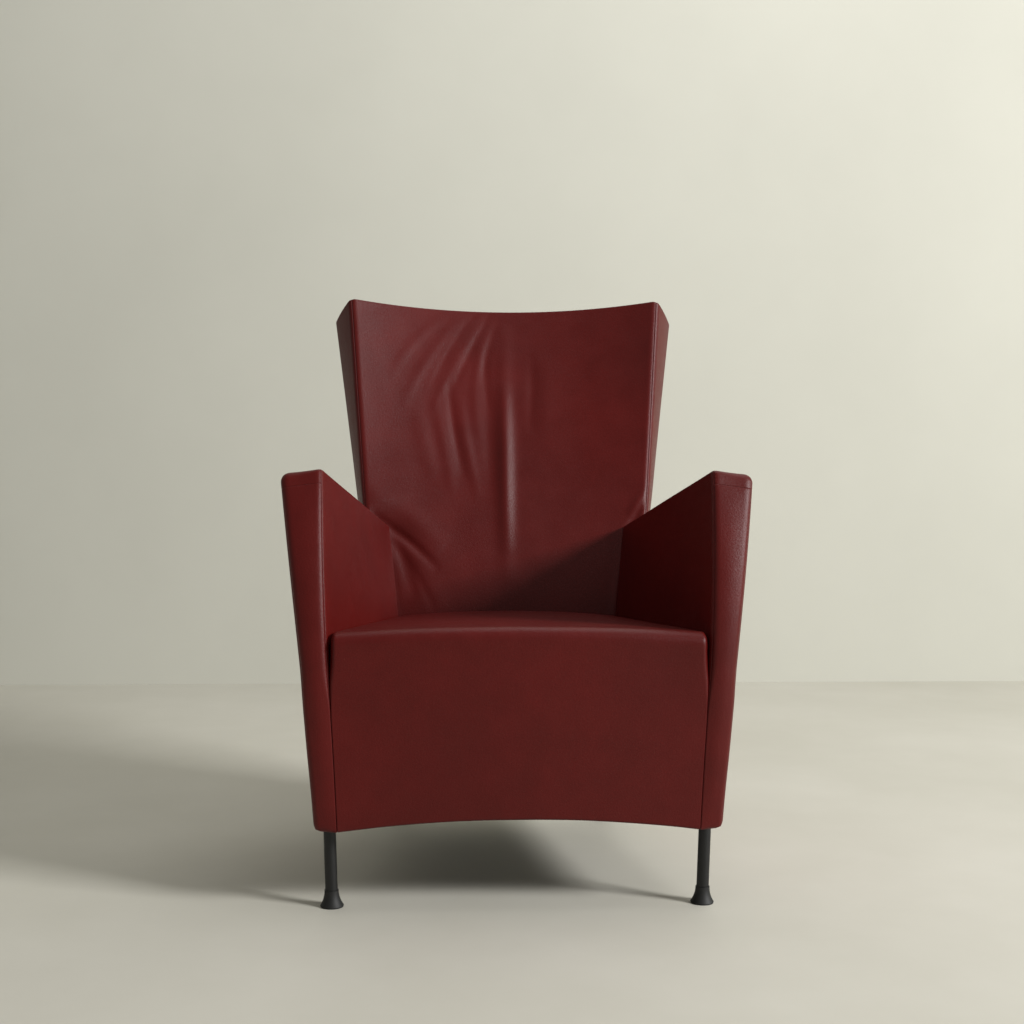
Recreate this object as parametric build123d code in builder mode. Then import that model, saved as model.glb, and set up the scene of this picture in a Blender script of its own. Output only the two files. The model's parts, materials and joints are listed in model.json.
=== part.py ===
from build123d import *
from math import atan2, cos, radians, sin, sqrt
import os

os.makedirs("parts", exist_ok=True)

# High-back leather armchair. Millimetres, +Z up, the sitter faces -Y. The origin is on the
# floor under the middle of the chair. Left is -X, as the chair is seen from its front.

# Stance: depths are counted from the front plane of the seat panel towards the rear.
front_y = -396.7
bottom_z = 130
knee_z = 330
overrun = 60
reach = 1200

# Upholstery: leather with its felt backing, and the room left between two soft pieces.
leather = 2
ease = 0.3

# Seat block between the arms.
seat_depth = 480
seat_half = 300
seat_front_z = 446
seat_rear_z = 421
seat_crown = 10
seat_lip_radius = 20
seat_edge_radius = 8
arch_rise = 18
apron = 30
cover_drop = 30

# Arms: half-widths of the inner and the outer face, at the foot and at the head of the arm,
# first in the front plane, then in a plane one station behind it. They follow the seat.
arm_station = 500
arm_tuck = 11
arm_toe_in = 123
arm_front_foot_width = 36
arm_front_inner_flare = 45
arm_front_outer_flare = 82
arm_rear_foot_width = 66
arm_rear_inner_flare = 69
arm_rear_outer_flare = 50
arm_front_inner_foot = seat_half - arm_tuck
arm_front_inner_head = arm_front_inner_foot + arm_front_inner_flare
arm_front_outer_foot = arm_front_inner_foot + arm_front_foot_width
arm_front_outer_head = arm_front_outer_foot + arm_front_outer_flare
arm_rear_inner_foot = arm_front_inner_foot - arm_toe_in
arm_rear_inner_head = arm_rear_inner_foot + arm_rear_inner_flare
arm_rear_outer_foot = arm_rear_inner_foot + arm_rear_foot_width
arm_rear_outer_head = arm_rear_outer_foot + arm_rear_outer_flare
arm_front_head_z = 726
arm_rear_head_z = 601
arm_head_fall = 9
arm_inner_hollow = 5
arm_outer_hollow = 10
arm_lean = 80
arm_lean_z = 706
arm_outer_round = 16
arm_inner_round = 6
arm_cap_drop = 27

# Backrest: half-width at the foot, how far the front and rear edges spread beyond it, and
# their depths, at the foot, at seat height, at the arms and at the top corners, with the
# hollow of the front and the bulge of the rear. The half-width follows the seat. Below the
# seat and above the arms the sides run straight, held by sections at even spans.
back_arm_z = 625
back_corner_z = 1047
back_loft_z = 1075
back_low_spans = 3
back_high_spans = 6
back_tuck = 60
back_half = seat_half - back_tuck
back_front_spread_foot = 0
back_front_spread_seat = 19
back_front_spread_arm = 37
back_front_spread_corner = 71
back_rear_spread_foot = -4
back_rear_spread_seat = 18
back_rear_spread_arm = 52
back_rear_spread_corner = 115
back_front_foot_depth = 450
back_front_seat_depth = 480
back_front_arm_depth = 539
back_front_corner_depth = 660
back_rear_foot_depth = 590
back_rear_seat_depth = 584
back_rear_arm_depth = 600
back_rear_corner_depth = 737
back_sag_foot = 4
back_sag_seat = 8
back_sag_arm = 26
back_sag_corner = 66
back_bulge_foot = 24
back_bulge_seat = 30
back_bulge_arm = 44
back_bulge_corner = 78
back_front_round = 5
back_rear_round = 9
crest_radius = 2850
crest_rise = 17
crest_slope = 35

# Timber: plywood boards and beech rails.
board = 20
base_bottom_z = 153
base_top_z = 340
base_gap = 4
corner_block_leg = 55
corner_block_height = 60
arm_board = 15
arm_rail_width = 30
arm_rail_height = 34
arm_board_margin = 24
post_board = 22
post_inset = 50
post_half = back_half - post_inset
post_depth = 26
post_cover = 14
post_setback = 6
post_top_z = 985
back_board_cover = 12
back_board_top_z = 340
arm_board_rear_depth = 425
arm_rail_front_depth = 8
arm_rail_rear_depth = 435
crest_rail_height = 60
crest_rail_top_z = 970
lumbar_rail_height = 50
lumbar_rail_top_z = 600

# Springing: zigzag springs in the seat, elastic straps in the back.
wire = 3.6
spring_count = 5
spring_spacing = 70
spring_half_width = 24
spring_bend = 12
spring_wave_count = 10
clip_width = 20
clip_thickness = 1.5
clip_length = 14
strap_count = 4
strap_width = 50
strap_thickness = 2
strap_low_z = 650
strap_high_z = 860
dust_sheet = 0.8

# Legs, feet and the fasteners that hold the units together.
leg_radius = 10
leg_bore = 8
leg_splay = 4
leg_front_inset = 15
leg_front_half = arm_front_inner_foot + leg_front_inset
leg_front_depth = 44
leg_rear_half = post_half + post_board / 2
leg_rear_depth = 558
foot_front_half = leg_front_half - leg_splay
foot_rear_half = leg_rear_half - leg_splay
foot_rear_depth = 588
foot_radius = 19
foot_neck_radius = 11.4
foot_flare_share = 2.2
foot_shares = (0, 0.25, 0.5, 0.75, 1)
foot_height = 27
foot_rim = 2
foot_sole_inset = 0.6
foot_sole = 6
socket_play = 0.1
stud_radius = 5
stud_rise = 22
stud_plug_length = 24
insert_radius = 7
insert_length = 18
thread_play = 0.05
bolt_radius = 4
bolt_head_radius = 6.5
bolt_head_height = 5.3
bolt_play = 0.2
bolt_hex_depth = 3
hex_sides = 6
bolt_hex_radius = 3
sleeve_radius = 5.5
sleeve_length = 12
bolt_run_out = 6
arm_bolt_low_z = 190
arm_bolt_high_z = 300
arm_bolt_near_depth = 130
arm_bolt_far_depth = 350
back_bolt_half = 80
back_bolt_low_z = 190
back_bolt_high_z = 300


def save(piece, name):
    piece.part.label = name
    export_step(piece.part, "parts/" + name + ".step")


def mirrored(part):
    with BuildPart() as twin:
        mirror(part, about=Plane.YZ)
    return twin


# Y of a place that lies so far behind the front plane.
def behind(distance):
    return front_y + distance


# The value that a straight line through two named places has at a third.
def line_at(place, start, end, start_value, end_value):
    return start_value + (end_value - start_value) * (place - start) / (end - start)


# Backrest: a lofted slab, hollow in front and full at the rear, cut off by a sloping crest.
def back_section(z, front_half, front_depth, sag, rear_half, rear_depth, bulge, grow):
    near = behind(front_depth)
    far = behind(rear_depth)
    with BuildSketch(Plane.XY.offset(z)) as section:
        with BuildLine():
            ThreePointArc((-front_half, near), (0, near + sag), (front_half, near))
            Line((front_half, near), (rear_half, far))
            ThreePointArc((rear_half, far), (0, far + bulge), (-rear_half, far))
            Line((-rear_half, far), (-front_half, near))
        make_face()
        fillet(section.vertices().sort_by(Axis.Y)[:2], back_front_round)
        fillet(section.vertices().sort_by(Axis.Y)[-2:], back_rear_round)
        if grow:
            offset(amount=grow)
    return section.sketch


crest_plane = Plane(
    origin=(0, behind(back_front_corner_depth), back_corner_z),
    x_dir=(1, 0, 0),
    z_dir=(0, -cos(radians(crest_slope)), sin(radians(crest_slope))),
)


def above_crest(drop):
    with BuildPart() as space:
        with BuildSketch(crest_plane):
            with Locations((0, reach / 2 - overrun)):
                Rectangle(2 * reach, reach)
            with Locations((0, crest_rise - crest_radius - drop)):
                Circle(crest_radius, mode=Mode.SUBTRACT)
        extrude(amount=reach, both=True)
    return space.part


def back_levels():
    foot = (
        back_half + back_front_spread_foot, back_front_foot_depth, back_sag_foot,
        back_half + back_rear_spread_foot, back_rear_foot_depth, back_bulge_foot,
    )
    seat = (
        back_half + back_front_spread_seat, back_front_seat_depth, back_sag_seat,
        back_half + back_rear_spread_seat, back_rear_seat_depth, back_bulge_seat,
    )
    arm = (
        back_half + back_front_spread_arm, back_front_arm_depth, back_sag_arm,
        back_half + back_rear_spread_arm, back_rear_arm_depth, back_bulge_arm,
    )
    corner = (
        back_half + back_front_spread_corner, back_front_corner_depth, back_sag_corner,
        back_half + back_rear_spread_corner, back_rear_corner_depth, back_bulge_corner,
    )
    levels = []
    for number in range(back_low_spans + 1):
        z = bottom_z + (seat_rear_z - bottom_z) * number / back_low_spans
        values = [line_at(z, bottom_z, seat_rear_z, *pair) for pair in zip(foot, seat)]
        levels.append((z, *values))
    for number in range(back_high_spans + 1):
        z = back_arm_z + (back_loft_z - back_arm_z) * number / back_high_spans
        values = [line_at(z, back_arm_z, back_corner_z, *pair) for pair in zip(arm, corner)]
        levels.append((z, *values))
    return levels


def back_form(inset):
    with BuildPart() as form:
        loft([back_section(*level, -inset) for level in back_levels()])
        add(above_crest(max(inset, 0)), mode=Mode.SUBTRACT)
        if inset > 0:
            split(bisect_by=Plane.XY.offset(bottom_z + inset), keep=Keep.TOP)
    return form.part


# Arm: a ruled slab between two cross-sections, with a front face that leans back.
def arm_section(distance, inner_foot, inner_head, outer_foot, outer_head, head_z, grow):
    foot_z = bottom_z
    middle_z = (foot_z + head_z) / 2
    inner_middle = (inner_foot + inner_head) / 2 - arm_inner_hollow
    outer_middle = (outer_foot + outer_head) / 2 - arm_outer_hollow
    outer_z = head_z - arm_head_fall
    with BuildSketch(Plane.XZ.offset(-behind(distance))) as section:
        with BuildLine():
            ThreePointArc((inner_foot, foot_z), (inner_middle, middle_z), (inner_head, head_z))
            Line((inner_head, head_z), (outer_head, outer_z))
            ThreePointArc((outer_head, outer_z), (outer_middle, middle_z), (outer_foot, foot_z))
            Line((outer_foot, foot_z), (inner_foot, foot_z))
        make_face()
        fillet(section.vertices().sort_by_distance((inner_foot, foot_z))[:1], arm_inner_round)
        fillet(section.vertices().sort_by_distance((inner_head, head_z))[:1], arm_inner_round)
        fillet(section.vertices().sort_by_distance((outer_foot, foot_z))[:1], arm_outer_round)
        fillet(section.vertices().sort_by_distance((outer_head, outer_z))[:1], arm_outer_round)
        if grow:
            offset(amount=grow)
    return section.sketch


def arm_loft(inset):
    slopes = [
        (rear - front) / arm_station
        for front, rear in (
            (arm_front_inner_foot, arm_rear_inner_foot),
            (arm_front_inner_head, arm_rear_inner_head),
            (arm_front_outer_foot, arm_rear_outer_foot),
            (arm_front_outer_head, arm_rear_outer_head),
            (arm_front_head_z, arm_rear_head_z),
        )
    ]
    fronts = (
        arm_front_inner_foot, arm_front_inner_head, arm_front_outer_foot,
        arm_front_outer_head, arm_front_head_z,
    )
    sections = []
    for distance in (-overrun, arm_station + overrun):
        values = [front + slope * distance for front, slope in zip(fronts, slopes)]
        sections.append(arm_section(distance, *values, -inset))
    with BuildPart() as form:
        loft(sections, ruled=True)
    return form.part


# Space behind the arms' front face, seen from the side: upright, then leaning back.
def behind_arm_front(inset):
    knee = (front_y, knee_z)
    head = (behind(arm_lean), arm_lean_z)
    slope = 2 * atan2(arm_lean, arm_lean_z - knee_z)
    crown = (head[0] + reach * sin(slope), head[1] + reach * cos(slope))
    with BuildPart() as space:
        with BuildSketch(Plane.YZ) as profile:
            with BuildLine():
                Line((front_y, -reach), knee)
                TangentArc(knee, head, tangent=(0, 1))
                Line(head, crown)
                Polyline(crown, (reach, crown[1]), (reach, -reach), (front_y, -reach))
            make_face()
            if inset:
                offset(amount=-inset)
        extrude(amount=reach, both=True)
    return space.part


back_outside = back_form(-ease)


def arm_form(inset):
    with BuildPart() as form:
        add(arm_loft(inset))
        add(behind_arm_front(inset), mode=Mode.INTERSECT)
        add(back_outside, mode=Mode.SUBTRACT)
    return form.part.solids().sort_by(SortBy.VOLUME)[-1]


# Seat: crowned on top, arched below its front, and fitted between the arms and the backrest.
def seat_section(distance, top_z, grow):
    with BuildSketch(Plane.XZ.offset(-behind(distance))) as section:
        with BuildLine():
            Line((-seat_half, top_z), (-seat_half, bottom_z))
            ThreePointArc((-seat_half, bottom_z), (0, bottom_z + arch_rise), (seat_half, bottom_z))
            Line((seat_half, bottom_z), (seat_half, top_z))
            ThreePointArc((seat_half, top_z), (0, top_z + seat_crown), (-seat_half, top_z))
        make_face()
        if grow:
            offset(amount=grow, kind=Kind.INTERSECTION)
    return section.sketch


def seat_form(inset):
    slope = (seat_rear_z - seat_front_z) / seat_depth
    sections = [
        seat_section(distance, seat_front_z + slope * distance, -inset)
        for distance in (inset, seat_depth + overrun)
    ]
    with BuildPart() as form:
        loft(sections, ruled=True)
        front_edges = form.edges().group_by(Axis.Y)[0]
        fillet(front_edges.sort_by(Axis.Z)[-1:], seat_lip_radius - inset)
        uprights = form.edges().filter_by(Axis.Z).group_by(Axis.Y)[0]
        fillet(uprights, seat_edge_radius - inset)
        for side in (right_arm_outside(inset), left_arm_outside(inset)):
            add(side, mode=Mode.SUBTRACT)
        add(back_form(-ease - inset), mode=Mode.SUBTRACT)
    return form.part.solids().sort_by(SortBy.VOLUME)[-1]


def right_arm_outside(inset):
    with BuildPart() as space:
        add(arm_loft(-ease - inset))
        add(behind_arm_front(-ease - inset), mode=Mode.INTERSECT)
    return space.part


def left_arm_outside(inset):
    with BuildPart() as space:
        mirror(right_arm_outside(inset), about=Plane.YZ)
    return space.part


# Heights and a depth that follow from the sizes above.
floor_of_core = bottom_z + leather + ease
foam_floor_z = base_top_z + 2 * clip_thickness + wire + ease
back_board_depth = back_board_cover + line_at(
    back_board_top_z, bottom_z, seat_rear_z, back_front_foot_depth, back_front_seat_depth
)


# Cover of the seat: one hide from the rear over the front lip down to the arched edge. It
# ends on the sides and at the rear a little below the seat's top.
seat_outer = seat_form(0)
seat_inner = seat_form(leather)
seat_core = seat_form(leather + ease)

with BuildPart() as seat_cover:
    add(seat_outer)
    add(seat_inner, mode=Mode.SUBTRACT)
    with BuildSketch(Plane.YZ):
        with Locations((behind(apron), seat_front_z - cover_drop)):
            Rectangle(reach, reach, align=(Align.MIN, Align.MAX))
    extrude(amount=reach, both=True, mode=Mode.SUBTRACT)
save(seat_cover, "seat_cover")

with BuildPart() as seat_foam:
    add(seat_core)
    with BuildSketch(Plane.YZ):
        with Locations((behind(apron), foam_floor_z)):
            Rectangle(reach, reach, align=(Align.MIN, Align.MAX))
    extrude(amount=reach, both=True, mode=Mode.SUBTRACT)
save(seat_foam, "seat_foam")


# Seat base: a plywood tray that narrows towards the rear, as the arms do.
def base_half(distance):
    half = line_at(distance, 0, arm_station, arm_front_inner_foot, arm_rear_inner_foot)
    return half - leather - 2 * ease - base_gap


base_front = apron + ease
side_front = base_front + board
base_rear = back_front_foot_depth - leather - base_gap
side_rear = base_rear - board
base_height = base_top_z - base_bottom_z
side_toe = (base_half(side_front) - base_half(side_rear)) / (side_rear - side_front)
side_width = board * sqrt(1 + side_toe**2)
side_normal = (1, side_toe, 0)


def side_inner_half(distance):
    return base_half(distance) - side_width


# A bolt through the side rail, square to it, which ends in the middle of the arm board.
arm_toe = (
    (arm_front_inner_foot + arm_front_outer_foot - arm_rear_inner_foot - arm_rear_outer_foot)
    / (2 * arm_station)
)
arm_front_middle = (arm_front_inner_foot + arm_front_outer_foot) / 2
arm_front_rise = arm_front_head_z - bottom_z
arm_flare = (
    (arm_front_inner_head + arm_front_outer_head - arm_front_inner_foot - arm_front_outer_foot)
    / (2 * arm_front_rise)
)
arm_plane = Plane(
    origin=(arm_front_middle - arm_inner_hollow / 2, front_y, bottom_z),
    x_dir=(-arm_toe, 1, 0),
    z_dir=(1, arm_toe, -arm_flare),
)
arm_bolt_places = [
    (distance, z)
    for distance in (arm_bolt_near_depth, arm_bolt_far_depth)
    for z in (arm_bolt_low_z, arm_bolt_high_z)
]


def arm_bolt_plane(distance, z):
    return Plane(origin=(side_inner_half(distance), behind(distance), z), z_dir=side_normal)


def arm_bolt_reach(distance, z):
    start = arm_bolt_plane(distance, z).origin
    axis = Vector(*side_normal).normalized()
    gap = (arm_plane.origin - start).dot(arm_plane.z_dir)
    return gap / axis.dot(arm_plane.z_dir)


def arm_bolt_set(radius, extra):
    with BuildPart() as group:
        for distance, z in arm_bolt_places:
            with BuildSketch(arm_bolt_plane(distance, z)):
                Circle(radius)
            extrude(amount=arm_bolt_reach(distance, z) + bolt_run_out + extra)
    return group.part


def arm_sleeve_set(radius, length):
    with BuildPart() as group:
        for distance, z in arm_bolt_places:
            start = arm_bolt_reach(distance, z) - length / 2
            with BuildSketch(arm_bolt_plane(distance, z).offset(start)):
                Circle(radius)
            extrude(amount=length)
    return group.part


arm_bolt_space = arm_bolt_set(bolt_radius + bolt_play, bolt_play)
arm_sleeve_space = arm_sleeve_set(sleeve_radius, sleeve_length)


def back_bolt_set(radius, start, length):
    with BuildPart() as group:
        with BuildSketch(Plane.XZ.offset(-behind(start))):
            with Locations(
                (back_bolt_half, back_bolt_low_z), (back_bolt_half, back_bolt_high_z),
                (-back_bolt_half, back_bolt_low_z), (-back_bolt_half, back_bolt_high_z),
            ):
                Circle(radius)
        extrude(amount=-length)
    return group.part


back_bolt_length = back_board_depth + board - side_rear
back_sleeve_start = back_board_depth + (board - sleeve_length) / 2
back_bolt_space = back_bolt_set(
    bolt_radius + bolt_play, side_rear - bolt_play, back_bolt_length + 2 * bolt_play
)
back_sleeve_space = back_bolt_set(sleeve_radius, back_sleeve_start, sleeve_length)

with BuildPart() as front_rail:
    with BuildSketch(Plane.XY.offset(base_bottom_z)):
        with Locations((0, behind(base_front))):
            Rectangle(2 * base_half(side_front), board, align=(Align.CENTER, Align.MIN))
    extrude(amount=base_height)
save(front_rail, "front_rail")

with BuildPart() as rear_rail:
    with BuildSketch(Plane.XY.offset(base_bottom_z)):
        with Locations((0, behind(side_rear))):
            Rectangle(2 * base_half(base_rear), board, align=(Align.CENTER, Align.MIN))
    extrude(amount=base_height)
    add(back_bolt_space, mode=Mode.SUBTRACT)
save(rear_rail, "rear_rail")

with BuildPart() as right_side_rail:
    with BuildSketch(Plane.XY.offset(base_bottom_z)):
        with BuildLine():
            Polyline(
                (base_half(side_front), behind(side_front)),
                (base_half(side_rear), behind(side_rear)),
                (side_inner_half(side_rear), behind(side_rear)),
                (side_inner_half(side_front), behind(side_front)),
                close=True,
            )
        make_face()
    extrude(amount=base_height)
    add(arm_bolt_space, mode=Mode.SUBTRACT)
save(right_side_rail, "right_side_rail")

save(mirrored(right_side_rail.part), "left_side_rail")

with BuildPart() as corner_blocks:
    with BuildSketch(Plane.XY.offset(base_bottom_z)):
        for side in (-1, 1):
            for distance, way in ((side_front, 1), (side_rear, -1)):
                corner = side_inner_half(distance)
                along = distance + way * corner_block_leg
                with BuildLine():
                    Polyline(
                        (side * corner, behind(distance)),
                        (side * (corner - corner_block_leg), behind(distance)),
                        (side * side_inner_half(along), behind(along)),
                        close=True,
                    )
                make_face()
    extrude(amount=corner_block_height)
save(corner_blocks, "corner_blocks")

with BuildPart() as dust_cover:
    with BuildSketch(Plane.XY.offset(base_bottom_z - dust_sheet)):
        with BuildLine():
            Polyline(
                (base_half(side_front), behind(base_front)),
                (base_half(base_rear), behind(base_rear)),
                (-base_half(base_rear), behind(base_rear)),
                (-base_half(side_front), behind(base_front)),
                close=True,
            )
        make_face()
    extrude(amount=dust_sheet)
save(dust_cover, "dust_cover")


# Zigzag springs: one wire each, hooked into a clip on the front and on the rear rail.
spring_start = base_front + board / 2
spring_end = side_rear + board / 2
spring_pitch = (spring_end - spring_start) / spring_wave_count
spring_z = base_top_z + clip_thickness + wire / 2

with BuildPart() as zigzag:
    turns = []
    for wave in range(spring_wave_count + 1):
        side = spring_half_width if wave % 2 else -spring_half_width
        turns.append((side, behind(spring_start + wave * spring_pitch), spring_z))
        if wave < spring_wave_count:
            turns.append((-side, behind(spring_start + wave * spring_pitch), spring_z))
    turns.append((-turns[-1][0], turns[-1][1], spring_z))
    with BuildLine() as wire_line:
        FilletPolyline(*turns, radius=spring_bend)
    with BuildSketch(Plane(origin=wire_line.line @ 0, z_dir=wire_line.line % 0)):
        Rectangle(wire, wire)
    sweep()

spring_places = [
    (spring_spacing * (number - (spring_count - 1) / 2), 0, 0) for number in range(spring_count)
]

with BuildPart() as seat_springs:
    with Locations(*spring_places):
        add(zigzag.part)
save(seat_springs, "seat_springs")

with BuildPart() as spring_clips:
    for distance, way in ((spring_start, 1), (spring_end, -1)):
        heel = behind(distance - way * (wire / 2 + clip_thickness))
        toe = behind(distance + way * clip_length)
        low = base_top_z
        high = base_top_z + 2 * clip_thickness + wire
        for place in spring_places:
            with BuildSketch(Plane.YZ.offset(place[0])):
                with BuildLine():
                    Polyline(
                        (toe, low), (heel, low), (heel, high), (toe, high),
                        (toe, high - clip_thickness),
                        (behind(distance - way * wire / 2), high - clip_thickness),
                        (behind(distance - way * wire / 2), low + clip_thickness),
                        (toe, low + clip_thickness),
                        close=True,
                    )
                make_face()
            extrude(amount=clip_width / 2, both=True)
save(spring_clips, "spring_clips")


# Arms: covers, foam, a plywood board that leans with the arm, and a beech rail below it.
arm_outer = arm_form(0)
arm_inner = arm_form(leather)
arm_core = arm_form(leather + ease)
cap_slope = atan2(arm_front_head_z - arm_rear_head_z, arm_station)
cap_plane = Plane(
    origin=(0, front_y, arm_front_head_z - arm_head_fall / 2 - arm_cap_drop),
    z_dir=(0, sin(cap_slope), cos(cap_slope)),
)


def leg_plane(top_half, top_depth, foot_half, foot_depth):
    return Plane(
        origin=(foot_half, behind(foot_depth), 0),
        z_dir=(top_half - foot_half, top_depth - foot_depth, bottom_z),
    )


def rod(plane, radius, low, high):
    with BuildPart(plane) as piece:
        Cylinder(radius, reach, align=(Align.CENTER, Align.CENTER, Align.MIN))
        split(bisect_by=Plane.XY.offset(low), keep=Keep.TOP)
        split(bisect_by=Plane.XY.offset(high), keep=Keep.BOTTOM)
    return piece.part


front_leg_plane = leg_plane(leg_front_half, leg_front_depth, foot_front_half, leg_front_depth)
rear_leg_plane = leg_plane(leg_rear_half, leg_rear_depth, foot_rear_half, foot_rear_depth)
leg_space_top = floor_of_core + arm_outer_round
front_leg_space = rod(front_leg_plane, leg_radius + socket_play, foot_sole, leg_space_top)
rear_leg_space = rod(rear_leg_plane, leg_radius + socket_play, foot_sole, leg_space_top)
front_insert_space = rod(
    front_leg_plane, insert_radius + thread_play, foot_height, floor_of_core + insert_length + thread_play
)
rear_insert_space = rod(
    rear_leg_plane, insert_radius + thread_play, foot_height, floor_of_core + insert_length + thread_play
)
front_stud_space = rod(
    front_leg_plane, stud_radius + bolt_play, foot_height, floor_of_core + stud_rise + bolt_play
)
rear_stud_space = rod(
    rear_leg_plane, stud_radius + bolt_play, foot_height, floor_of_core + stud_rise + bolt_play
)

with BuildPart() as right_arm_cap_cover:
    add(arm_outer)
    add(arm_inner, mode=Mode.SUBTRACT)
    split(bisect_by=cap_plane, keep=Keep.TOP)

with BuildPart() as right_arm_side_covers:
    add(arm_outer)
    add(arm_inner, mode=Mode.SUBTRACT)
    split(bisect_by=cap_plane, keep=Keep.BOTTOM)
    add(front_leg_space, mode=Mode.SUBTRACT)
    add(arm_bolt_space, mode=Mode.SUBTRACT)

with BuildPart() as right_arm_inner_side:
    add(behind_arm_front(leather))
    split(bisect_by=arm_plane, keep=Keep.BOTTOM)

with BuildPart() as right_arm_inner_cover:
    add(right_arm_side_covers.part)
    add(right_arm_inner_side.part, mode=Mode.INTERSECT)

with BuildPart() as right_arm_outer_cover:
    add(right_arm_side_covers.part)
    add(right_arm_inner_side.part, mode=Mode.SUBTRACT)

with BuildPart() as right_arm_rail:
    with BuildSketch(Plane.XY.offset(floor_of_core)):
        with BuildLine():
            front_middle = arm_front_middle - arm_toe * arm_rail_front_depth
            rear_middle = arm_front_middle - arm_toe * arm_rail_rear_depth
            Polyline(
                (front_middle - arm_rail_width / 2, behind(arm_rail_front_depth)),
                (front_middle + arm_rail_width / 2, behind(arm_rail_front_depth)),
                (rear_middle + arm_rail_width / 2, behind(arm_rail_rear_depth)),
                (rear_middle - arm_rail_width / 2, behind(arm_rail_rear_depth)),
                close=True,
            )
        make_face()
    extrude(amount=arm_rail_height)
    add(arm_core, mode=Mode.INTERSECT)
    add(front_insert_space, mode=Mode.SUBTRACT)
    add(front_stud_space, mode=Mode.SUBTRACT)

with BuildPart() as right_arm_board:
    with BuildSketch(arm_plane):
        with BuildLine():
            head_low = line_at(arm_board_rear_depth, 0, arm_station, arm_front_head_z, arm_rear_head_z)
            Polyline(
                (arm_board_margin, 0),
                (arm_board_margin, knee_z - bottom_z),
                (arm_board_margin + arm_lean, arm_lean_z - bottom_z - arm_board_margin),
                (arm_board_rear_depth, head_low - bottom_z - arm_board_margin),
                (arm_board_rear_depth, 0),
                close=True,
            )
        make_face()
    extrude(amount=arm_board / 2, both=True)
    split(bisect_by=Plane.XY.offset(floor_of_core + arm_rail_height), keep=Keep.TOP)
    add(arm_bolt_space, mode=Mode.SUBTRACT)
    add(arm_sleeve_space, mode=Mode.SUBTRACT)

with BuildPart() as right_arm_foam:
    add(arm_core)
    add(right_arm_rail.part, mode=Mode.SUBTRACT)
    add(right_arm_board.part, mode=Mode.SUBTRACT)
    add(arm_bolt_space, mode=Mode.SUBTRACT)
    add(arm_sleeve_space, mode=Mode.SUBTRACT)
    add(front_insert_space, mode=Mode.SUBTRACT)
    add(front_stud_space, mode=Mode.SUBTRACT)
    add(front_leg_space, mode=Mode.SUBTRACT)

right_arm = {
    "arm_cap_cover": right_arm_cap_cover,
    "arm_inner_cover": right_arm_inner_cover,
    "arm_outer_cover": right_arm_outer_cover,
    "arm_rail": right_arm_rail,
    "arm_board": right_arm_board,
    "arm_foam": right_arm_foam,
}
for name, piece in right_arm.items():
    save(piece, "right_" + name)
    save(mirrored(piece.part), "left_" + name)


# Backrest: gussets, front and rear covers, foam, posts, rails and elastic straps.
back_outer = back_form(0)
back_inner = back_form(leather)
back_core = back_form(leather + ease)


def gusset_wedge(z, front_half, front_depth, sag, rear_half, rear_depth, bulge):
    near = behind(front_depth)
    far = behind(rear_depth)
    inset = back_rear_round
    with BuildSketch(Plane.XY.offset(z)) as section:
        with BuildLine():
            Polyline(
                (front_half - inset, near + inset), (front_half + overrun, near - overrun),
                (rear_half + overrun, far + overrun), (rear_half - inset, far - inset),
                close=True,
            )
        make_face()
    return section.sketch


with BuildPart() as right_gusset_space:
    loft([gusset_wedge(z, *values) for z, *values in back_levels()])

with BuildPart() as back_crest_gusset:
    add(back_outer)
    add(above_crest(leather), mode=Mode.INTERSECT)

with BuildPart() as back_shell:
    add(back_outer)
    add(above_crest(leather), mode=Mode.SUBTRACT)
    add(back_inner, mode=Mode.SUBTRACT)
    add(back_bolt_space, mode=Mode.SUBTRACT)
    add(rear_leg_space, mode=Mode.SUBTRACT)
    add(mirrored(rear_leg_space).part, mode=Mode.SUBTRACT)

with BuildPart() as right_back_gusset:
    add(back_shell.part)
    add(right_gusset_space.part, mode=Mode.INTERSECT)

with BuildPart() as back_panels:
    add(back_shell.part)
    add(right_gusset_space.part, mode=Mode.SUBTRACT)
    add(mirrored(right_gusset_space.part).part, mode=Mode.SUBTRACT)


with BuildPart() as back_underside_cover:
    add(back_panels.part)
    split(bisect_by=Plane.XY.offset(bottom_z + leather), keep=Keep.BOTTOM)

with BuildPart() as back_two_panels:
    add(back_panels.part)
    split(bisect_by=Plane.XY.offset(bottom_z + leather), keep=Keep.TOP)

back_front_panel, back_rear_panel = (
    back_two_panels.part.solids().sort_by(SortBy.VOLUME)[-2:].sort_by(Axis.Y)
)

with BuildPart() as back_inner_cover:
    add(back_front_panel)

with BuildPart() as back_outer_cover:
    add(back_rear_panel)


# Middle of the slab's thickness over the posts, from its front and rear arcs.
def slab_middle(level):
    z, front_half, front_depth, sag, rear_half, rear_depth, bulge = level
    x = post_half + post_board / 2
    front = front_depth + sag * (1 - (x / front_half) ** 2)
    rear = rear_depth + bulge * (1 - (x / rear_half) ** 2)
    return (front + rear) / 2 + post_setback


levels = back_levels()
seat_middle = slab_middle(levels[back_low_spans])
arm_middle = slab_middle(levels[back_low_spans + 1])
top_middle = line_at(post_top_z, back_arm_z, back_loft_z, arm_middle, slab_middle(levels[-1]))
post_heel_depth = back_rear_foot_depth - post_cover


def back_rail_outline(top_z, height):
    lean = (top_middle - arm_middle) / (post_top_z - back_arm_z)
    rear = arm_middle + lean * (top_z - back_arm_z) + post_depth / 2
    low = rear - lean * height
    return [
        (behind(rear), top_z), (behind(rear - board), top_z),
        (behind(low - board), top_z - height), (behind(low), top_z - height),
    ]


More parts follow.
